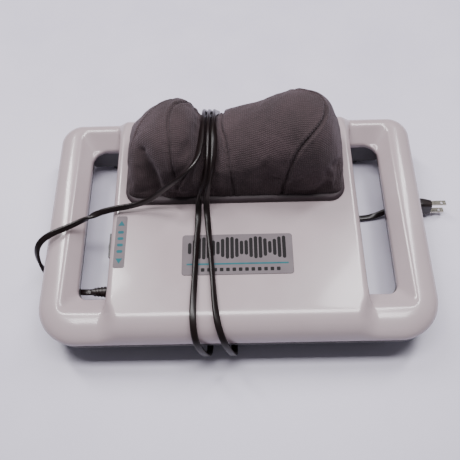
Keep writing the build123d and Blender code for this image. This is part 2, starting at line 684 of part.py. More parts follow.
save("plug_blades", *plug_blades())
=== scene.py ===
import json
import math

import bpy
import bmesh
import numpy as np
from mathutils import Matrix, Vector, noise
from mathutils.bvhtree import BVHTree


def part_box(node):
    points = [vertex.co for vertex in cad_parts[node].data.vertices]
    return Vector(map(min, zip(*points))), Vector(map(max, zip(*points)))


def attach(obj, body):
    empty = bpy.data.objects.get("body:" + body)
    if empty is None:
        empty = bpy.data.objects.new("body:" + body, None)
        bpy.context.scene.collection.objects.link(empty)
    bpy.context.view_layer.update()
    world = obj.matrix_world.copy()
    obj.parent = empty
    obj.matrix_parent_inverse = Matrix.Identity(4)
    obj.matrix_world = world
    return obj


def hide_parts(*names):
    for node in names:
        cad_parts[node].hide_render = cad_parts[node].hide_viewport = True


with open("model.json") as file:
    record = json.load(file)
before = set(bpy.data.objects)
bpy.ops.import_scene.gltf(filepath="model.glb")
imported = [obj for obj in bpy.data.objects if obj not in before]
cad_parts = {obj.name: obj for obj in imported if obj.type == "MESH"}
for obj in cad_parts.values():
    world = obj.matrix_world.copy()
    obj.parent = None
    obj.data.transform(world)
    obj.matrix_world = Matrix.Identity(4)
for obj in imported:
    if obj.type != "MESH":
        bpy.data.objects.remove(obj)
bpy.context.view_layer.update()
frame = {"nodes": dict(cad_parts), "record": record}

scene = bpy.context.scene

# Camera
# A hand-held view from above the front edge, a little to the right of the middle, and slightly turned.
# It stands about 0.7 m away, with an ordinary lens.
eye = Vector((0.0056, -0.3017, 0.6253))
yaw, pitch, roll = (math.radians(angle) for angle in (2.36, 62.99, -3.37))
ahead = Vector((-math.sin(yaw) * math.cos(pitch), math.cos(yaw) * math.cos(pitch), -math.sin(pitch)))
level = Vector((math.cos(yaw), math.sin(yaw), 0.0))
above = level.cross(ahead)
across = math.cos(roll) * level + math.sin(roll) * above
upward = -math.sin(roll) * level + math.cos(roll) * above
camera_data = bpy.data.cameras.new("camera")
camera_data.sensor_width = 36.0
camera_data.lens = 45.4
camera = bpy.data.objects.new("camera", camera_data)
camera.matrix_world = Matrix.Translation(eye) @ Matrix((across, upward, -ahead)).transposed().to_4x4()
scene.collection.objects.link(camera)
scene.camera = camera

# Mains lead
# A flat two-core flexible lead in dark brown PVC.  It leaves the sleeve on the left wall, loops round the
# handle and is wound front to rear round the casing and through the valley of the cover.  Its route is in
# metres, as are its width and thickness.
LEAD_ROUTE = [
    (-0.16, -0.07, 0.026), (-0.172, -0.07, 0.026), (-0.188, -0.067, 0.022), (-0.203, -0.058, 0.021),
    (-0.214, -0.047, 0.028), (-0.22, -0.038, 0.041), (-0.2195, -0.029, 0.054), (-0.211, -0.0225, 0.064),
    (-0.198, -0.0155, 0.0665), (-0.183, -0.008, 0.065), (-0.166, 0.0, 0.0665), (-0.148, 0.005, 0.0725),
    (-0.131, 0.008, 0.075), (-0.114, 0.0095, 0.077), (-0.099, 0.011, 0.081), (-0.084, 0.0135, 0.092),
    (-0.069, 0.0152, 0.108), (-0.052, 0.0175, 0.123), (-0.038, 0.03, 0.13), (-0.034, 0.055, 0.128),
    (-0.033, 0.078, 0.126), (-0.0327, 0.098, 0.118), (-0.0327, 0.114, 0.104), (-0.0327, 0.126, 0.088),
    (-0.032, 0.14, 0.072), (-0.032, 0.1475, 0.058), (-0.032, 0.148, 0.044), (-0.031, 0.147, 0.028),
    (-0.031, 0.142, 0.012), (-0.03, 0.129, 0.0032), (-0.033, 0.084, 0.004), (-0.03, 0.024, 0.0036),
    (-0.033, -0.04, 0.004), (-0.03, -0.092, 0.0036), (-0.0303, -0.128, 0.0032), (-0.031, -0.1385, 0.0135),
    (-0.033, -0.1435, 0.029), (-0.037, -0.144, 0.044), (-0.042, -0.139, 0.06), (-0.044, -0.126, 0.0705),
    (-0.0445, -0.108, 0.074), (-0.043, -0.075, 0.0726), (-0.042, -0.042, 0.0732), (-0.0405, -0.018, 0.0732),
    (-0.04, -0.001, 0.0733), (-0.0393, 0.01, 0.0825), (-0.0365, 0.0132, 0.098), (-0.0315, 0.021, 0.112),
    (-0.028, 0.036, 0.122), (-0.027, 0.056, 0.1265), (-0.0267, 0.077, 0.126), (-0.0267, 0.097, 0.1185),
    (-0.0267, 0.1135, 0.104), (-0.0267, 0.126, 0.088), (-0.026, 0.14, 0.072), (-0.026, 0.1475, 0.058),
    (-0.026, 0.148, 0.044), (-0.025, 0.147, 0.028), (-0.0245, 0.142, 0.012), (-0.023, 0.129, 0.0032),
    (-0.022, 0.084, 0.0037), (-0.015, 0.024, 0.004), (-0.014, -0.04, 0.0037), (-0.007, -0.092, 0.004),
    (-0.004, -0.128, 0.0032), (-0.0037, -0.1385, 0.0135), (-0.005, -0.1435, 0.029),
    (-0.0085, -0.144, 0.044), (-0.014, -0.139, 0.06), (-0.019, -0.126, 0.0705), (-0.022, -0.108, 0.074),
    (-0.0245, -0.075, 0.0726), (-0.027, -0.042, 0.0732), (-0.029, -0.018, 0.0732),
    (-0.0305, -0.001, 0.0733), (-0.031, 0.01, 0.0825), (-0.0295, 0.0132, 0.098), (-0.025, 0.021, 0.112),
    (-0.0215, 0.036, 0.122), (-0.0207, 0.056, 0.1265), (-0.0207, 0.077, 0.126), (-0.0207, 0.097, 0.1185),
    (-0.0207, 0.1135, 0.104), (-0.0207, 0.126, 0.088), (-0.02, 0.14, 0.072), (-0.0195, 0.1475, 0.058),
    (-0.019, 0.148, 0.044), (-0.018, 0.147, 0.028), (-0.016, 0.142, 0.012), (-0.0115, 0.13, 0.0032),
    (0.012, 0.094, 0.004), (0.046, 0.062, 0.0036), (0.088, 0.038, 0.0039), (0.128, 0.027, 0.0034),
    (0.15, 0.027, 0.0032), (0.164, 0.0282, 0.0042), (0.177, 0.0315, 0.0086), (0.1885, 0.0355, 0.0129),
    (0.1985, 0.0355, 0.0129)]
LEAD_WIDTH, LEAD_THICK = 0.0070, 0.0038

lead_curve = bpy.data.curves.new("lead_line", "CURVE")
lead_curve.dimensions = "3D"
lead_spline = lead_curve.splines.new("NURBS")
lead_spline.points.add(len(LEAD_ROUTE) - 1)
for control, place in zip(lead_spline.points, LEAD_ROUTE):
    control.co = (*place, 1.0)
lead_spline.order_u = 3
lead_spline.use_endpoint_u = True
lead_spline.resolution_u = 7
lead_line = bpy.data.objects.new("lead_line", lead_curve)
scene.collection.objects.link(lead_line)
lead_path = np.array([v.co for v in bpy.data.meshes.new_from_object(lead_line).vertices])
bpy.data.objects.remove(lead_line)


def surface_of(mesh):
    """A tree that finds the nearest point of a mesh's surface."""
    loose = bmesh.new()
    loose.from_mesh(mesh)
    tree = BVHTree.FromBMesh(loose)
    loose.free()
    return tree


nearby = [surface_of(frame["nodes"][node].data) for node in ("upper_shell", "lower_shell", "fabric_cover")]


def away_from_casing(point):
    """The direction from the nearest surface of the casing or cover to a point beside it."""
    found = [t.find_nearest(Vector(point)) for t in nearby]
    spot = min(found, key=lambda hit: hit[3])[0]
    return np.array((Vector(point) - spot).normalized())


lead_step = np.r_[0.0, np.linalg.norm(np.diff(lead_path, axis=0), axis=1)].cumsum()
lead_along = np.gradient(lead_path, axis=0)
lead_along /= np.linalg.norm(lead_along, axis=1)[:, None]
lean = np.array([away_from_casing(p) for p in lead_path])
lean = np.einsum("ni,nj->nij", lean, lean)
LEAN_REACH = 0.014          # the lead takes its lean from about this far along itself
reach = np.exp(-((lead_step[:, None] - lead_step[None, :]) / LEAN_REACH) ** 2)
lean = np.linalg.eigh(np.einsum("mn,nij->mij", reach, lean))[1][:, :, 2]
for i in range(1, len(lean)):
    if lean[i] @ lean[i - 1] < 0:
        lean[i] *= -1
for _ in range(12):
    lean[1:-1] = lean[:-2] + 2 * lean[1:-1] + lean[2:]
    lean /= np.linalg.norm(lean, axis=1)[:, None]
lean -= (lean * lead_along).sum(1)[:, None] * lead_along
lean /= np.linalg.norm(lean, axis=1)[:, None]
lead_side = np.cross(lead_along, lean)

# The flat lead lies on its face, or stands on edge where the strands are squeezed together in the valley.
TWIST = [(0, 0), (3, 0), (5, 50), (12, 50), (14, 10), (16, 20), (18, 85), (22, 85), (25, 0), (40, 5),
         (41, 50), (42, 60), (43, 25), (45, 15), (47, 70), (48, 88), (52, 88), (55, 0), (69, 0), (71, 55),
         (72, 65), (74, 20), (76, 30), (78, 88), (82, 88), (85, 0), (95, 0), (98, 80)]      # point, degrees
station = np.linspace(0, len(LEAD_ROUTE) - 1, len(lead_path))
twist = np.radians(np.interp(station, *zip(*TWIST)))
twist = np.convolve(np.pad(twist, 8, mode="edge"), np.ones(17) / 17, "valid")[:, None]
lean, lead_side = (np.cos(twist) * lean + np.sin(twist) * lead_side,
                   np.cos(twist) * lead_side - np.sin(twist) * lean)

SECTION = 20
turns = np.linspace(0, 2 * math.pi, SECTION, endpoint=False)
core_gap = (LEAD_WIDTH - LEAD_THICK) / 2
section_side = LEAD_THICK / 2 * np.cos(turns) + core_gap * np.sign(np.round(np.cos(turns), 6))
waist = 0.80 + 0.20 * np.minimum(1.0, np.abs(section_side) / core_gap)        # the dip between the cores
section_lean = LEAD_THICK / 2 * np.sin(turns) * waist
lead_vertices = (lead_path[:, None, :] + section_side[None, :, None] * lead_side[:, None, :]
                 + section_lean[None, :, None] * lean[:, None, :]).reshape(-1, 3)
lead_faces = []
for i in range(len(lead_path) - 1):
    for j in range(SECTION):
        k = (j + 1) % SECTION
        lead_faces.append((i * SECTION + j, i * SECTION + k, (i + 1) * SECTION + k, (i + 1) * SECTION + j))
last = (len(lead_path) - 1) * SECTION
lead_faces.append(tuple(range(SECTION))[::-1])
lead_faces.append(tuple(last + j for j in range(SECTION)))


def new_piece(name, vertices, faces, material=None, smooth=True):
    mesh = bpy.data.meshes.new(name)
    mesh.from_pydata([tuple(v) for v in vertices], [], [tuple(f) for f in faces])
    mesh.update()
    mesh.shade_smooth() if smooth else mesh.shade_flat()
    if material:
        mesh.materials.append(material)
    piece = bpy.data.objects.new(name, mesh)
    scene.collection.objects.link(piece)
    return piece


def linear(*colour):
    """An 8-bit screen colour as the linear colour that a shader takes."""
    return tuple(((c / 255 + 0.055) / 1.055) ** 2.4 if c > 10 else c / 255 / 12.92 for c in colour) + (1.0,)


def new_material(name, colour, **sockets):
    """A material with its nodes, links and shader; a socket's name is written with underscores."""
    material = bpy.data.materials.new(name)
    material.use_nodes = True
    shader = material.node_tree.nodes["Principled BSDF"]
    shader.inputs["Base Color"].default_value = linear(*colour)
    for socket, value in sockets.items():
        shader.inputs[socket.replace("_", " ")].default_value = value
    return material, material.node_tree.nodes, material.node_tree.links, shader


def new_noise(nodes, links, scale, detail):
    """A noise on the piece's own coordinates."""
    place = nodes.new("ShaderNodeTexCoord")
    noise_field = nodes.new("ShaderNodeTexNoise")
    noise_field.inputs["Scale"].default_value = scale
    noise_field.inputs["Detail"].default_value = detail
    links.new(place.outputs["Object"], noise_field.inputs["Vector"])
    return noise_field


def new_ramp(nodes, links, driver, dark, pale, low=0.0, high=1.0):
    """A colour that goes from a dark tone to a pale one with the value of a noise."""
    ramp = nodes.new("ShaderNodeValToRGB")
    for stop, position, colour in zip(ramp.color_ramp.elements, (low, high), (dark, pale)):
        stop.position, stop.color = position, linear(*colour)
    links.new(driver.outputs["Fac"], ramp.inputs["Fac"])
    return ramp.outputs["Color"]


def new_bump(nodes, links, shader, height, strength, distance):
    bump = nodes.new("ShaderNodeBump")
    bump.inputs["Strength"].default_value = strength
    bump.inputs["Distance"].default_value = distance
    links.new(height, bump.inputs["Height"])
    links.new(bump.outputs["Normal"], shader.inputs["Normal"])


def new_gloss(nodes, links, shader, driver, low, high):
    """Roughness that wanders between two values with a noise."""
    gloss = nodes.new("ShaderNodeMapRange")
    gloss.inputs["To Min"].default_value = low
    gloss.inputs["To Max"].default_value = high
    links.new(driver.outputs["Fac"], gloss.inputs["Value"])
    links.new(gloss.outputs["Result"], shader.inputs["Roughness"])


lead_pvc, nodes, links, shader = new_material("dark_brown_pvc", (24, 16, 16), Roughness=0.3,
                                              Specular_IOR_Level=0.38)
grime = new_noise(nodes, links, 160.0, 4.0)
links.new(new_ramp(nodes, links, grime, (14, 8, 9), (30, 21, 21)), shader.inputs["Base Color"])
new_bump(nodes, links, shader, grime.outputs["Fac"], 0.12, 0.0002)

lead = new_piece("mains_lead", lead_vertices, lead_faces, lead_pvc)
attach(lead, "housing")
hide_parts("power_cord")

# Top casing
# One glossy moulding in light warm grey ABS: a raised middle that runs front to rear, and a dished frame
# with a handle each side.  The field below is negative inside the plastic, in millimetres.
MM = 0.001
HALF_W, FRONT_Y, REAR_Y = 210.0, -136.0, 139.0
PLAN_FRONT_R, PLAN_REAR_R = 45.0, 25.0
WIDEST_Z, RIM_Z, DECK_Z, PARTING_Z = 46.0, 58.0, 68.0, 38.0
BODY_HALF = 136.0
SLOT_X, SLOT_Y = (136.0, 171.0), (-85.0, 106.0)
SLOT_LIP_Z = 44.0
SLOT_INNER_R, SLOT_REAR_R, SLOT_FRONT_R, SLOT_MID_X = 3.0, 17.0, 10.0, 150.0
DISH_X, DISH_Y = 184.5, (-103.0, 125.5)
CASING_WALL = 3.6
CASING_GRID = 2.0          # finer than the wall, so that no cell holds both its faces


def soft_max(a, b, blend):
    part = np.clip(0.5 + 0.5 * (a - b) / blend, 0, 1)
    return b + (a - b) * part + blend * part * (1 - part)


def rounded_box(x, y, low, high, corner):
    """Distance to a rectangle in plan, negative inside, with its corners rounded."""
    qx = np.abs(x - (low[0] + high[0]) / 2) - (high[0] - low[0]) / 2 + corner
    qy = np.abs(y - (low[1] + high[1]) / 2) - (high[1] - low[1]) / 2 + corner
    return np.minimum(np.maximum(qx, qy), 0) + np.hypot(np.maximum(qx, 0), np.maximum(qy, 0)) - corner


def mitred_box(x, y, low, high, blend):
    """The same for a rectangle whose corners meet in a soft mitre, outside as well as inside."""
    qx = np.abs(x - (low[0] + high[0]) / 2) - (high[0] - low[0]) / 2
    qy = np.abs(y - (low[1] + high[1]) / 2) - (high[1] - low[1]) / 2
    return soft_max(qx, qy, blend)


def evened(field, p):
    """The field over its own slope, so that it measures about a millimetre to the millimetre."""
    value = field(p)
    slope = [field(p + step) - field(p - step) for step in np.eye(3) * 0.4]
    return value / np.maximum(np.sqrt(sum(part**2 for part in slope)) / 0.8, 0.3)


def slot_distance(x, y):
    outer = np.where(y > 0, SLOT_REAR_R, SLOT_FRONT_R)
    corner = np.where(x < SLOT_MID_X, SLOT_INNER_R, outer)
    return rounded_box(x, y, (SLOT_X[0], SLOT_Y[0]), (SLOT_X[1], SLOT_Y[1]), corner)


def raised_share(x, y):
    """One over the raised middle and nought over the frame; the step between them fades towards the edges."""
    front = np.clip((-96 - y) / 22, 0, 1)
    ends = np.maximum(front, 0.35 * np.clip((y - 112) / 15, 0, 1))
    width = 8 + 16 * ends
    share = np.clip((BODY_HALF + 2 + 6 * ends - x) / width, 0, 1)
    crisp, gentle = 1 - (1 - share) ** 2, share * share * (3 - 2 * share)
    return crisp + (gentle - crisp) * np.minimum(ends * 2, 1)


def outer_skin(p):
    x, y, z = np.abs(p[..., 0]), p[..., 1], p[..., 2]
    plan_r = np.where(y < 0, PLAN_FRONT_R, PLAN_REAR_R)
    inset = -rounded_box(x, y, (-HALF_W, FRONT_Y), (HALF_W, REAR_Y), plan_r)
    to_x = np.maximum(x - (HALF_W - plan_r), 0)
    to_y = np.maximum(np.maximum(y - REAR_Y, FRONT_Y - y) + plan_r, 0)
    turn = to_y**2 / np.maximum(to_x**2 + to_y**2, 1e-6)
    crown = 21.0 + (np.where(y < 0, 28.0, 13.0) - 21.0) * turn
    tuck = 3.0 * (np.maximum(WIDEST_Z - z, 0) / (WIDEST_Z - PARTING_Z)) ** 2
    inward = np.maximum(crown - inset + tuck, 0) / crown
    height = RIM_Z - WIDEST_Z + (DECK_Z - RIM_Z) * raised_share(x, y)
    return (np.hypot(inward, np.maximum(z - WIDEST_Z, 0) / height) - 1) * height


def dished_top(p):
    x, y, z = np.abs(p[..., 0]), p[..., 1], p[..., 2]
    slot = np.maximum(mitred_box(x, y, (SLOT_X[0] - 40, SLOT_Y[0]), (SLOT_X[1], SLOT_Y[1]), 7.0), 0)
    dish = mitred_box(x, y, (60.0, DISH_Y[0]), (DISH_X, DISH_Y[1]), 9.0)
    rise = np.where(dish > 0, 1 + dish / 10, slot / np.maximum(slot - dish, 0.01))
    return z - SLOT_LIP_Z - (RIM_Z - SLOT_LIP_Z) * rise - 60 * raised_share(x, y)


def casing_field(p):
    x, y = np.abs(p[..., 0]), p[..., 1]
    solid = soft_max(evened(outer_skin, p), evened(dished_top, p), 2.2)
    return soft_max(solid, -slot_distance(x, y), 1.6)


COVER_HOLE = ((-108.0, 24.0), (108.0, 116.0))
BOSS_AT = [(x, y) for x in (-122.0, 122.0) for y in (-104.0, 8.0, 120.0)]
BOSS_R = 4.5


def casing_shell(p):
    solid = casing_field(p)
    shell = np.maximum(solid, -(solid + CASING_WALL))
    for x, y in BOSS_AT:
        boss = np.hypot(p[..., 0] - x, p[..., 1] - y) - BOSS_R
        shell = np.minimum(shell, np.maximum(boss, solid + 0.5))
    hole = rounded_box(p[..., 0], p[..., 1], *COVER_HOLE, 4.0)
    return np.maximum(np.maximum(shell, -hole), PARTING_Z - p[..., 2])


def skin_of(field, low, high, step):
    """A closed mesh of quads on the surface where a field is zero, with one vertex to each cell crossed."""
    counts = [int(math.ceil((b - a) / step)) + 1 for a, b in zip(low, high)]
    axes = [a + step * np.arange(n) for a, n in zip(low, counts)]
    grid = np.stack(np.meshgrid(*axes, indexing="ij"), -1)
    value = field(grid)
    inside = value < 0
    sums = np.zeros(tuple(n - 1 for n in counts) + (3,))
    hits = np.zeros(tuple(n - 1 for n in counts))
    crossings = []
    for axis in range(3):
        first = tuple(slice(0, -1) if a == axis else slice(None) for a in range(3))
        second = tuple(slice(1, None) if a == axis else slice(None) for a in range(3))
        crossed = inside[first] != inside[second]
        share = value[first] / np.where(crossed, value[first] - value[second], 1)
        spot = grid[first].copy()
        spot[..., axis] += share * step
        spot[~crossed] = 0
        u, v = (axis + 1) % 3, (axis + 2) % 3
        for du in (0, 1):
            for dv in (0, 1):
                pick = [slice(None)] * 3
                pick[u] = slice(du, counts[u] - 1 + du)
                pick[v] = slice(dv, counts[v] - 1 + dv)
                sums += spot[tuple(pick)]
                hits += crossed[tuple(pick)]
        crossings.append((crossed, inside[first], u, v))
    used = hits > 0
    number = -np.ones(used.shape, int)
    number[used] = np.arange(used.sum())
    points = sums[used] / hits[used][:, None]
    quads = []
    for axis, (crossed, starts_in, u, v) in enumerate(crossings):
        where = np.argwhere(crossed)
        where = where[(where[:, u] > 0) & (where[:, v] > 0)]
        back_u, back_v = np.eye(3, dtype=int)[u], np.eye(3, dtype=int)[v]
        ring = [where - back_u - back_v, where - back_v, where, where - back_u]
        quad = np.stack([number[tuple(cell.T)] for cell in ring], 1)
        flip = ~starts_in[tuple(where.T)]
        quad[flip] = quad[flip][:, ::-1]
        quads.append(quad)
    quads = np.concatenate(quads)
    for _ in range(4):
        points = settle(field, points)
    return points, quads


def settle(field, points):
    """Moves points along the field's slope towards its surface, where that brings them nearer."""
    value = field(points)
    slope = np.stack([field(points + off) - field(points - off) for off in np.eye(3) * 0.05], -1) / 0.1
    length = np.maximum((slope**2).sum(-1), 0.3)
    moved = points + np.clip(-value[:, None] * slope / length[:, None], -0.3, 0.3)
    better = np.abs(field(moved)) < np.abs(value)
    return np.where(better[:, None], moved, points)


casing_points, casing_quads = skin_of(casing_shell, (-213.0, -142.0, 36.0), (213.0, 142.0, 71.0), CASING_GRID)

casing_abs, nodes, links, shader = new_material("light_grey_gloss_abs", (194, 181, 185), Roughness=0.2,
                                               Coat_Weight=0.35, Coat_Roughness=0.08)
haze = new_noise(nodes, links, 9.0, 5.0)
links.new(new_ramp(nodes, links, haze, (174, 158, 162), (182, 167, 171), 0.35, 0.7),
          shader.inputs["Base Color"])
new_gloss(nodes, links, shader, new_noise(nodes, links, 45.0, 8.0), 0.16, 0.27)

casing = new_piece("top_casing", casing_points * MM, casing_quads, casing_abs)
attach(casing, "housing")
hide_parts("upper_shell")

# Name plate and control strip
# Thin printed plastic plates stuck in shallow recesses of the deck.  The print stands up by a tenth of a
# millimetre; the shapes on it are plain marks and no lettering.
plate_grey, nodes, links, shader = new_material("printed_plate", (118, 108, 113), Roughness=0.5,
                                               Specular_IOR_Level=0.35)
streak = new_noise(nodes, links, 60.0, 6.0)
links.new(new_ramp(nodes, links, streak, (92, 82, 87), (112, 102, 107)), shader.inputs["Base Color"])
INK_SUNK, INK_RAISED, PLATE_CHAMFER = 0.2, 0.12, 0.3


def speckled(name, dark, pale, rough, scale, **sockets):
    """A material whose colour and gloss wander a little between two tones."""
    material, nodes, links, shader = new_material(name, pale, Roughness=rough, **sockets)
    wander = new_noise(nodes, links, scale, 5.0)
    links.new(new_ramp(nodes, links, wander, dark, pale, 0.3, 0.7), shader.inputs["Base Color"])
    new_gloss(nodes, links, shader, wander, rough * 0.8, rough * 1.2)
    return material


def rounded_outline(low, high, corner, step, outset=0.0):
    """Plan points of a rounded rectangle, or of one set out round it, anticlockwise from its right side."""
    outline = []
    for x, y, start in ((high[0] - corner, high[1] - corner, 0), (low[0] + corner, high[1] - corner, 90),
                        (low[0] + corner, low[1] + corner, 180), (high[0] - corner, low[1] + corner, 270)):
        for angle in range(start, start + 91, step):
            turn = math.radians(angle)
            outline.append((x + (corner + outset) * math.cos(turn), y + (corner + outset) * math.sin(turn)))
    return outline


def bar(x0, y0, x1, y1, corner):
    corner = min(corner, (x1 - x0) / 2.01, (y1 - y0) / 2.01)
    return rounded_outline((x0, y0), (x1, y1), corner, 30)


def plate_with_print(node, corner, marks, ink):
    """A plate with rounded corners and raised flat marks, each a list of plan points in millimetres."""
    low, high = (np.array(end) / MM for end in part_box(node))
    ring = rounded_outline(low, high, corner, 15)
    points, faces, inked = [], [], []
    levels = [(ring, low[2], high[2], False)]
    levels += [(mark, high[2] - INK_SUNK, high[2] + INK_RAISED, True) for mark in marks]
    for outline, bottom, top, printed in levels:
        n, first = len(outline), len(points)
        chamfer = 0.0 if printed else PLATE_CHAMFER
        middle = np.mean(outline, axis=0)
        shrunk = [tuple(np.array(q) + (middle - q) / np.linalg.norm(middle - q) * chamfer) for q in outline]
        points += [(x, y, bottom) for x, y in outline] + [(x, y, top - chamfer) for x, y in outline]
        points += [(x, y, top) for x, y in shrunk]
        for level in (0, n):
            for i in range(n):
                j = (i + 1) % n
                faces.append(tuple(first + level + k for k in (i, j, n + j, n + i)))
        faces += [tuple(range(first, first + n))[::-1], tuple(range(first + 2 * n, first + 3 * n))]
        inked += [printed] * (2 * n + 2)
    piece = new_piece(node + "_printed", np.array(points) * MM, faces, plate_grey, smooth=False)
    piece.data.materials.append(ink)
    piece.data.polygons.foreach_set("material_index", [int(flag) for flag in inked])
    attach(piece, "housing")
    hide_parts(node)


black_ink = speckled("black_ink", (10, 7, 9), (18, 14, 17), 0.6, 120.0, Specular_IOR_Level=0.2)
plate_low, plate_high = (np.array(corner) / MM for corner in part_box("name_plate"))
marks = []
for i in range(21):          # upright bars whose height rises and falls like a wave
    x = plate_low[0] + 8 + i * 5.0
    swing = 6.0 + 6.5 * abs(math.sin(i * 0.55))
    marks.append(bar(x - 1.85, plate_high[1] - 16.5 - swing, x + 1.85, plate_high[1] - 15.5 + swing, 1.8))
for i in range(13):          # a row of small marks under the rule
    x = plate_low[0] + 22 + i * 6.6
    marks.append(bar(x - 1.9, plate_low[1] + 3.6, x + 1.9, plate_low[1] + 7.6, 0.8))
plate_with_print("name_plate", 3.0, marks, black_ink)

teal_ink = speckled("teal_ink", (22, 84, 96), (34, 104, 112), 0.6, 120.0, Specular_IOR_Level=0.25)
outline = bar(plate_low[0] + 5, plate_low[1] + 11.2, plate_high[0] - 5, plate_low[1] + 13.0, 0.6)
rule_points = [(x, y, z) for z in (plate_high[2] - INK_SUNK, plate_high[2] + 0.1) for x, y in outline]
n = len(outline)
rule_faces = [(i, (i + 1) % n, (i + 1) % n + n, i + n) for i in range(n)]
rule_faces += [tuple(range(n))[::-1], tuple(range(n, 2 * n))]
rule = new_piece("name_plate_rule", np.array(rule_points) * MM, rule_faces, teal_ink, smooth=False)
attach(rule, "housing")

strip_low, strip_high = (np.array(corner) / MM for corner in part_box("control_strip"))
strip_x, strip_y = (strip_low[0] + strip_high[0]) / 2, (strip_low[1] + strip_high[1]) / 2
marks = [[(strip_x - 3.6, strip_y + 19), (strip_x + 3.6, strip_y + 19), (strip_x, strip_y + 25)],
         [(strip_x, strip_y - 26), (strip_x + 3.6, strip_y - 20), (strip_x - 3.6, strip_y - 20)]]
for i in range(4):
    y = strip_y + 11 - i * 7.6
    marks.append(bar(strip_x - 3.2, y - 1.6, strip_x + 3.2, y + 1.6, 1.5))
plate_with_print("control_strip", 2.0, marks, teal_ink)

# Fabric cover
# A padded cover sewn from panels of dark brown woven cloth.  It is pulled over the two kneading discs, which
# push up a round lobe on the left and a longer one on the right, and a moulded rim holds it to the casing.
COVER_RIDGE = [(-121, 72), (-115, 99), (-107, 117), (-94, 134), (-77, 148), (-59, 153), (-46, 147),
               (-39, 128), (-31, 119), (-22, 119), (-15, 127), (-8, 133), (6, 136), (26, 143), (46, 155),
               (70, 162), (86, 159), (100, 145), (111, 117), (117, 94), (121, 72)]          # x, height
COVER_LOW, COVER_HIGH, COVER_CORNER = (-120.0, 17.5), (120.0, 122.0), 17.0
COVER_FOOT_Z = 69.0
COVER_SLACK = 2.0          # the cloth starts this much smaller and swells
COVER_MID_Y, COVER_HALF_DEEP = 69.75, 51.0
CROWN_HIGH, LOWEST_CROWN = 50.0, 74.0
DENTS = [((-91, 27, 110), (11, 18, 20), 11.0), ((-85, 30, 125), (9, 14, 15), 5.0),
         ((-55, 20, 92), (14, 12, 12), -2.0), ((32, 24, 116), (7, 9, 5), 2.2),
         ((52, 24, 126), (6, 9, 4), 1.8), ((44, 21, 104), (16, 9, 4), 1.8),
         ((-14, 22, 92), (6, 8, 7), -2.2), ((70, 20, 79), (26, 9, 2.5), 2.0),
         ((-84, 22, 84), (18, 9, 3), 1.5), ((20, 22, 100), (8, 10, 14), -1.5)]       # middle, reach, depth
ridge_x = np.linspace(-140, 140, 281)
ridge_z = np.interp(ridge_x, *zip(*COVER_RIDGE))
even = np.exp(-(np.arange(-9, 10) / 3.0) ** 2 / 2)
ridge_z = np.convolve(np.pad(ridge_z, 9, mode="edge"), even / even.sum(), "valid")


def crown_foot(x):
    """The height at which the sides of the cover turn over into its crown."""
    return np.maximum(LOWEST_CROWN, np.interp(x, ridge_x, ridge_z) - CROWN_HIGH)


def cover_field(p):
    x, y, z = p[..., 0], p[..., 1], p[..., 2]
    top, spring = np.interp(x, ridge_x, ridge_z), crown_foot(x)
    rise = np.maximum(z - spring, 0) / np.maximum(top - spring, 2)
    crown = (np.hypot((y - COVER_MID_Y) / COVER_HALF_DEEP, rise) - 1) * 45
    sides = rounded_box(x, y, COVER_LOW, COVER_HIGH, COVER_CORNER) + np.maximum(z - 80, 0) * 0.05
    skin = soft_max(crown, sides, 8)
    for middle, spread, depth in DENTS:
        skin = skin + depth * np.exp(-sum(((p[..., i] - middle[i]) / spread[i]) ** 2 for i in range(3)))
    return np.maximum(skin + COVER_SLACK * np.clip((z - 72) / 12, 0, 1), COVER_FOOT_Z - z)


cover_points, cover_quads = skin_of(cover_field, (-127.0, 9.0, 63.0), (128.0, 129.0, 170.0), 5.0)
cover = new_piece("padded_cover", cover_points * MM, cover_quads)

# The cloth is filled and tightened; its foot and the line under the lead stay put.
MOST_SWELL, SETTLE_FRAMES = 0.0035, 20
start = np.array([v.co for v in cover.data.vertices])
hold = cover.vertex_groups.new(name="hold")
for v in cover.data.vertices:
    under_lead = np.sqrt(((lead_path - np.array(v.co)) ** 2).sum(1).min())
    grip = max((0.084 - v.co.z) / 0.008, (0.011 - under_lead) / 0.005)
    hold.add([v.index], float(np.clip(grip, 0, 1)), "REPLACE")
cloth = cover.modifiers.new("filling", "CLOTH")
for setting, value in (("vertex_group_mass", "hold"), ("quality", 6), ("mass", 0.3),
                       ("tension_stiffness", 12), ("compression_stiffness", 12), ("shear_stiffness", 4),
                       ("bending_stiffness", 0.4), ("use_pressure", True),
                       ("uniform_pressure_force", 3.5), ("shrink_min", -0.04)):
    setattr(cloth.settings, setting, value)
cloth.settings.effector_weights.gravity = 0
cloth.collision_settings.use_collision = False
cloth.point_cache.frame_start, cloth.point_cache.frame_end = 1, SETTLE_FRAMES
for number in range(1, SETTLE_FRAMES + 1):
    scene.frame_set(number)
settled = cover.evaluated_get(bpy.context.evaluated_depsgraph_get()).to_mesh()
moved = np.array([v.co for v in settled.vertices]) - start
cover.modifiers.clear()
far = np.linalg.norm(moved, axis=1)[:, None]
moved = moved * np.minimum(1, MOST_SWELL / np.maximum(far, 1e-9))
cover.data.vertices.foreach_set("co", (start + moved).ravel())
scene.frame_set(1)

finer = cover.modifiers.new("finer", "SUBSURF")
finer.levels = finer.render_levels = 2
fine = bpy.data.meshes.new_from_object(cover.evaluated_get(bpy.context.evaluated_depsgraph_get()))
cover.modifiers.clear()
cover.data = fine

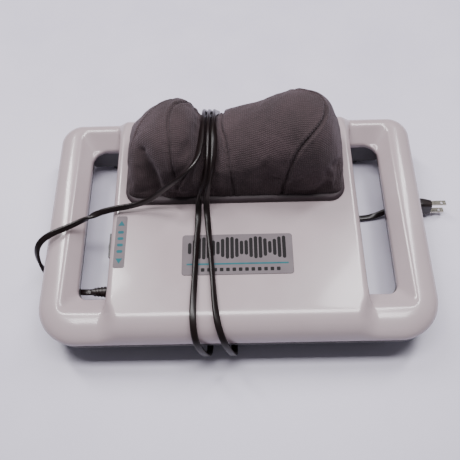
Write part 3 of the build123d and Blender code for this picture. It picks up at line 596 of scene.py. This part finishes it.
# Each seam is a groove with a slight lip, and the last line is a soft fold.  A line has its points, its
# depth, its reach and the sides that carry a row of stitches.
SEAMS = [
    ([(-36, 122, 76), (-39, 116, 112), (-47, 104, 133), (-56, 95, 145), (-64, 84, 150), (-66, 65, 151),
      (-65, 44, 144), (-64, 29, 132), (-62, 21, 109), (-61, 18, 92)], 2.6, 1.35, (-1, 1)),
    ([(-39, 105, 115), (-34, 68, 122), (-36, 51, 120), (-43, 32, 121), (-50, 23, 116), (-61, 18, 95)],
     2.2, 1.35, (1,)),
    ([(-12, 122, 76), (-12, 114, 104), (-11, 102, 119), (-8, 57, 130), (-5, 35, 120), (-2, 21, 94),
      (-1, 18, 76)], 2.2, 1.35, (-1, 1)),
    ([(48, 122, 76), (58, 113, 120), (73, 100, 152), (85, 95, 152), (93, 87, 148), (92, 69, 152),
      (88, 55, 154), (77, 42, 152), (66, 32, 145), (60, 26, 133), (55, 21, 114), (52, 18, 89), (51, 17, 76)],
     2.8, 1.35, (-1, 1)),
    ([(-66, 122, 76), (-64, 117, 112), (-63, 105, 138), (-81, 97, 137), (-96, 85, 129), (-105, 65, 118),
      (-111, 48, 104), (-118, 36, 76)], 1.6, 1.35, (1,)),
    ([(-98, 46, 126), (-92, 34, 114), (-87, 24, 97), (-84, 19, 80)], 4.6, 6.0, ()),
]
SEAM_STEP, SEAM_NEAR = 0.0012, 0.018


def ease(walk, times):
    """Smooths a line in place, with its ends held."""
    for _ in range(times):
        walk[1:-1] = (walk[:-2] + 2 * walk[1:-1] + walk[2:]) / 4


fine_skin = surface_of(fine)
seam_lines = []
for line, *_ in SEAMS:
    line = np.array(line, float) * MM
    along = np.r_[0, np.linalg.norm(np.diff(line, axis=0), axis=1)].cumsum()
    even_steps = np.arange(0, along[-1], SEAM_STEP)
    walk = np.stack([np.interp(even_steps, along, line[:, i]) for i in range(3)], 1)
    ease(walk, 60)
    for _ in range(2):
        walk = np.array([fine_skin.find_nearest(Vector(q))[0] for q in walk])
        ease(walk, 6)
    seam_lines.append(walk)
places = np.array([v.co for v in fine.vertices])
facing = np.array([v.normal for v in fine.vertices])
sink = np.zeros(len(places))
for walk, (_, depth, spread, _) in zip(seam_lines, SEAMS):
    gap = np.full(len(places), 9.9)
    low, high = walk.min(0) - SEAM_NEAR, walk.max(0) + SEAM_NEAR
    close = np.flatnonzero((places > low).all(1) & (places < high).all(1))
    for part in np.array_split(close, max(1, len(close) // 2000)):
        gap[part] = np.sqrt(((places[part, None] - walk[None]) ** 2).sum(2)).min(1) / MM
    sink += depth * np.exp(-(gap / spread) ** 2) - 0.3 * depth * np.exp(-((gap / spread - 2.8) / 1.3) ** 2)

# A light, uneven ripple all over, as loose cloth has.
ripple = np.array([noise.noise(Vector((q[0] * 55, q[1] * 55, q[2] * 90))) + 0.5 * noise.noise(Vector(q * 140))
                   for q in places])
sink += 0.55 * ripple * np.clip((places[:, 2] - 0.078) / 0.01, 0, 1)
places -= facing * (sink * MM)[:, None]
fine.vertices.foreach_set("co", places.ravel())

opened = bmesh.new()
opened.from_mesh(fine)
underside = [face for face in opened.faces
             if face.calc_center_median().z < (COVER_FOOT_Z + 0.9) * MM and face.normal.z < -0.5]
bmesh.ops.delete(opened, geom=underside, context="FACES")
opened.to_mesh(fine)
opened.free()
fine.update()
CLOTH_THICK = 0.0024
wall = cover.modifiers.new("wall", "SOLIDIFY")
wall.thickness, wall.offset = CLOTH_THICK, -1.0
bpy.context.view_layer.update()
walled = bpy.data.meshes.new_from_object(cover.evaluated_get(bpy.context.evaluated_depsgraph_get()))
cover.modifiers.clear()
cover.data = walled
walled.shade_smooth()

# The weft runs up the front, over the top and down the back, so its place along that way is kept on the mesh.
skin = np.array([v.co for v in walled.vertices]) / MM
spring = crown_foot(skin[:, 0])
over = np.arctan2(np.maximum(skin[:, 2] - spring, 0), COVER_MID_Y - skin[:, 1])
MEAN_ROUND = 46.0          # mean radius of the crown, which turns its angle into a length
over = over * MEAN_ROUND + np.where(skin[:, 1] < COVER_MID_Y, -1, 1) * np.maximum(spring - skin[:, 2], 0)
threads_at = walled.attributes.new("threads", "FLOAT_VECTOR", "POINT")
threads_at.data.foreach_set("vector", (np.stack([skin[:, 0], 0 * over, over], 1) * MM).ravel())

cloth_brown, nodes, links, shader = new_material(
    "brown_woven_cloth", (60, 48, 52), Roughness=0.86, Sheen_Weight=0.25, Sheen_Roughness=0.5,
    Sheen_Tint=linear(190, 175, 185))
laid = nodes.new("ShaderNodeAttribute")
laid.attribute_name = "threads"
weave = nodes.new("ShaderNodeMath")
weave.operation = "MULTIPLY"
for socket, (name, direction) in zip(weave.inputs, (("warp", "X"), ("weft", "Z"))):
    thread = nodes.new("ShaderNodeTexWave")
    thread.name = name
    thread.bands_direction = direction
    thread.inputs["Scale"].default_value = 155.0
    thread.inputs["Distortion"].default_value = 2.2
    thread.inputs["Detail"].default_value = 1.0
    thread.inputs["Detail Scale"].default_value = 1.5
    links.new(laid.outputs["Vector"], thread.inputs["Vector"])
    links.new(thread.outputs["Fac"], socket)
woven = nodes.new("ShaderNodeMath")
woven.operation = "ADD"
links.new(weave.outputs["Value"], woven.inputs[0])
links.new(new_noise(nodes, links, 420.0, 3.0).outputs["Fac"], woven.inputs[1])
new_bump(nodes, links, shader, woven.outputs["Value"], 0.75, 0.0007)
mottle = nodes.new("ShaderNodeMix")
mottle.data_type = "RGBA"
mottle.blend_type = "MULTIPLY"
mottle.inputs["Factor"].default_value = 0.55
fade = new_noise(nodes, links, 22.0, 4.0)
links.new(new_ramp(nodes, links, fade, (50, 37, 40), (70, 54, 58), 0.3, 0.72), mottle.inputs["A"])
links.new(woven.outputs["Value"], mottle.inputs["B"])
links.new(mottle.outputs["Result"], shader.inputs["Base Color"])
walled.materials.clear()
walled.materials.append(cloth_brown)
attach(cover, "housing")
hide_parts("fabric_cover")

# Stitches
# Short dark threads laid at an even pitch along each seam of the cover, in one row beside it or in two.
# They are short lengths of sewing thread that lie partly sunk in the cloth.
thread_brown = speckled("thread_brown", (46, 36, 40), (62, 52, 56), 0.8, 500.0)
ROW_OFFSET, THREAD_PROUD = 0.0024, 0.00012
STITCH_PITCH, STITCH_LENGTH, THREAD_RADIUS = 0.0034, 0.0023, 0.00034
cover_skin = surface_of(walled)
rows = bpy.data.curves.new("stitch_rows", "CURVE")
rows.dimensions = "3D"
for walk, (*_, sides) in zip(seam_lines, SEAMS):
    course = np.gradient(walk, axis=0)
    course /= np.linalg.norm(course, axis=1)[:, None]
    for side in sides:
        spots = []
        for q, t in zip(walk[3:-3:2], course[3:-3:2]):
            outward = np.array(cover_skin.find_nearest(Vector(q))[1])
            beside = Vector(q + side * ROW_OFFSET * np.cross(outward, t))
            spot, normal = cover_skin.find_nearest(beside)[:2]
            spots.append(spot + normal * THREAD_PROUD)
        row = rows.splines.new("POLY")
        row.points.add(len(spots) - 1)
        for point, spot in zip(row.points, spots):
            point.co = (*spot, 1.0)
rows_line = bpy.data.objects.new("stitch_rows", rows)
scene.collection.objects.link(rows_line)
stitch_tree = bpy.data.node_groups.new("stitches", "GeometryNodeTree")
sockets = stitch_tree.interface
sockets.new_socket("Geometry", in_out="INPUT", socket_type="NodeSocketGeometry")
settings = {sockets.new_socket(label, in_out="INPUT", socket_type="NodeSocketFloat").identifier: value
            for label, value in (("Pitch", STITCH_PITCH), ("Stitch length", STITCH_LENGTH),
                                 ("Thread radius", THREAD_RADIUS))}
sockets.new_socket("Geometry", in_out="OUTPUT", socket_type="NodeSocketGeometry")
inn, out = stitch_tree.nodes.new("NodeGroupInput"), stitch_tree.nodes.new("NodeGroupOutput")
spaced = stitch_tree.nodes.new("GeometryNodeResampleCurve")
spaced.mode = "LENGTH"
along = stitch_tree.nodes.new("GeometryNodeInputTangent")
aim = stitch_tree.nodes.new("FunctionNodeAlignRotationToVector")
aim.axis = "Z"
bead = stitch_tree.nodes.new("GeometryNodeMeshCylinder")
bead.inputs["Vertices"].default_value = 6
stamp = stitch_tree.nodes.new("GeometryNodeInstanceOnPoints")
real = stitch_tree.nodes.new("GeometryNodeRealizeInstances")
paint = stitch_tree.nodes.new("GeometryNodeSetMaterial")
paint.inputs["Material"].default_value = thread_brown
for start_socket, end_socket in ((inn.outputs["Geometry"], spaced.inputs["Curve"]),
                                 (inn.outputs["Pitch"], spaced.inputs["Length"]),
                                 (inn.outputs["Stitch length"], bead.inputs["Depth"]),
                                 (inn.outputs["Thread radius"], bead.inputs["Radius"]),
                                 (spaced.outputs["Curve"], stamp.inputs["Points"]),
                                 (bead.outputs["Mesh"], stamp.inputs["Instance"]),
                                 (along.outputs["Tangent"], aim.inputs["Vector"]),
                                 (aim.outputs["Rotation"], stamp.inputs["Rotation"]),
                                 (stamp.outputs["Instances"], real.inputs["Geometry"]),
                                 (real.outputs["Geometry"], paint.inputs["Geometry"]),
                                 (paint.outputs["Geometry"], out.inputs["Geometry"])):
    stitch_tree.links.new(start_socket, end_socket)
maker = rows_line.modifiers.new("stitches", "NODES")
maker.node_group = stitch_tree
for identifier, value in settings.items():
    maker[identifier] = value
bpy.context.view_layer.update()
stitch_mesh = bpy.data.meshes.new_from_object(rows_line.evaluated_get(bpy.context.evaluated_depsgraph_get()))
bpy.data.objects.remove(rows_line)
stitches = bpy.data.objects.new("cover_stitches", stitch_mesh)
scene.collection.objects.link(stitches)
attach(stitches, "housing")

# Cover rim
# A smooth moulded bead in dark brown plastic that runs round the foot of the cover, over its edge, and stands
# on the deck.
RIM_LOW, RIM_HIGH, RIM_CORNER = (-121.8, 15.4), (121.8, 124.2), 17.5
RIM_SECTION = [(0.0, 67.4), (0.0, 70.4), (-0.6, 72.3), (-1.8, 73.6), (-3.4, 74.2), (-5.6, 74.6), (-8.0, 74.9),
               (-8.4, 67.4)]          # set out from the plan, height
rings = [rounded_outline(RIM_LOW, RIM_HIGH, RIM_CORNER, 6, off) for off, z in RIM_SECTION]
n, m = len(RIM_SECTION), len(rings[0])
rim_points = [(*rings[j][i], RIM_SECTION[j][1]) for i in range(m) for j in range(n)]
rim_faces = [(i * n + j, (i + 1) % m * n + j, (i + 1) % m * n + (j + 1) % n, i * n + (j + 1) % n)
             for i in range(m) for j in range(n)]
rim_brown = speckled("rim_brown_satin", (50, 38, 43), (64, 51, 57), 0.62, 70.0)
cover_rim = new_piece("cover_rim", np.array(rim_points) * MM, rim_faces, rim_brown)
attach(cover_rim, "housing")

# Carried-over pieces
# The base, feet, switch, drive and fixings keep their modelled shapes, and each material gets a finish with
# a little wear in its colour and gloss.
FINISHES = {
    "light_grey_plastic": speckled("base_grey_abs", (186, 176, 182), (196, 186, 192), 0.28, 30.0),
    "dark_grey_plastic": speckled("dark_grey_abs", (56, 52, 56), (70, 66, 70), 0.5, 60.0),
    "black_plastic": speckled("black_abs", (22, 20, 21), (34, 31, 33), 0.42, 60.0),
    "natural_plastic": speckled("natural_acetal", (216, 210, 196), (228, 223, 210), 0.4, 40.0),
    "disc_plastic": speckled("disc_nylon", (196, 190, 180), (208, 203, 194), 0.45, 40.0),
    "foot_rubber": speckled("foot_rubber", (28, 27, 28), (40, 38, 39), 0.8, 90.0),
    "cord_rubber": speckled("cord_brown_pvc", (22, 15, 15), (46, 37, 36), 0.36, 160.0),
    "steel": speckled("bright_steel", (176, 176, 180), (200, 200, 203), 0.3, 110.0, Metallic=1.0),
    "plated_steel": speckled("zinc_plate", (184, 182, 174), (206, 204, 198), 0.38, 70.0, Metallic=1.0),
    "bronze": speckled("sintered_bronze", (150, 108, 62), (178, 134, 84), 0.42, 150.0, Metallic=1.0),
    "motor_iron": speckled("motor_iron", (92, 90, 90), (120, 118, 118), 0.5, 90.0, Metallic=1.0),
    "magnet": speckled("ferrite", (48, 47, 48), (64, 62, 63), 0.6, 120.0),
    "board": speckled("phenolic_board", (150, 118, 70), (168, 134, 84), 0.5, 80.0),
    "component": speckled("board_parts", (36, 40, 48), (58, 60, 66), 0.4, 130.0),
    "brass_nickel": speckled("nickelled_blade", (188, 182, 166), (212, 207, 194), 0.26, 140.0, Metallic=1.0),
}
for part in frame["record"]["subparts"]:
    piece = frame["nodes"][part["node"]]
    if part["material_slot"] in FINISHES:
        piece.data.materials.clear()
        piece.data.materials.append(FINISHES[part["material_slot"]])

# Floor and light
# A plain pale table.  Two narrow lamps towards the back, one each side, draw the long highlights, and a long
# lamp overhead gives a soft light from above.
floor_grey = speckled("pale_table", (219, 214, 232), (226, 221, 238), 0.42, 12.0)
floor = new_piece("table", [(-3, -3, 0), (3, -3, 0), (3, 3, 0), (-3, 3, 0)], [(0, 1, 2, 3)], floor_grey)


def area_light(name, place, aim, size, power, colour):
    lamp = bpy.data.lights.new(name, "AREA")
    lamp.shape, lamp.size, lamp.size_y = "RECTANGLE", *size
    lamp.energy, lamp.color = power, colour
    holder = bpy.data.objects.new(name, lamp)
    holder.location = place
    holder.rotation_euler = (Vector(aim) - Vector(place)).to_track_quat("-Z", "Y").to_euler()
    scene.collection.objects.link(holder)


area_light("left lamp", (-0.75, 0.75, 1.45), (0, 0, 0.05), (0.2, 0.8), 17, (1.0, 0.98, 0.99))
area_light("right lamp", (0.65, 0.7, 1.5), (0, 0, 0.05), (0.22, 0.9), 14, (0.98, 0.97, 1.0))
area_light("ceiling", (0.0, 0.16, 1.8), (0, 0.02, 0), (1.5, 0.3), 29, (0.99, 0.98, 1.0))
world = bpy.data.worlds.new("room")
world.use_nodes = True
world.node_tree.nodes["Background"].inputs["Color"].default_value = (0.86, 0.85, 0.9, 1)
world.node_tree.nodes["Background"].inputs["Strength"].default_value = 0.16
scene.world = world
